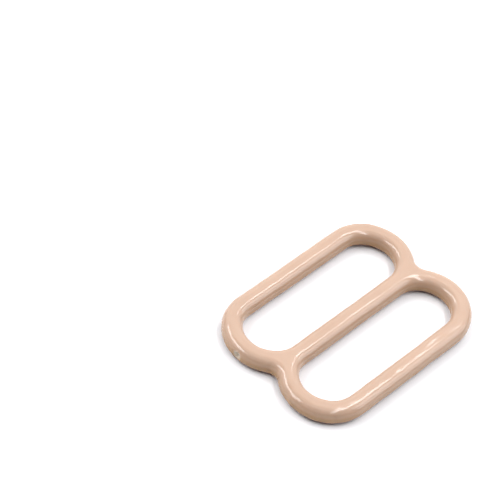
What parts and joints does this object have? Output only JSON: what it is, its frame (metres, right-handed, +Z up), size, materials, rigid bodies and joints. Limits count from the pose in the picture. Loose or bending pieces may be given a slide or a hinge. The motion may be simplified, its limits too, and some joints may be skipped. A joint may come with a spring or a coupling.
{
  "type": "strap slider",
  "caption": "Small figure-of-eight lingerie strap slider: a flat metal core in a glossy nude nylon coating, with two long round-ended openings either side of a middle bar.",
  "frame": {"origin": "underside of the slider, at the middle of the middle bar", "axes": "+X along the bars, +Y across them in the direction of the strap, +Z up through the thickness"},
  "size_m": [0.0146, 0.0108, 0.0012],
  "materials": {
    "core_steel": "stamped, tumbled dull, under the coating",
    "coating_nylon": "glossy nude nylon powder coat with slight orange peel"
  },
  "bodies": {
    "root": {"metal_core": "core_steel", "nylon_coating": "coating_nylon"}
  },
  "joints": []
}
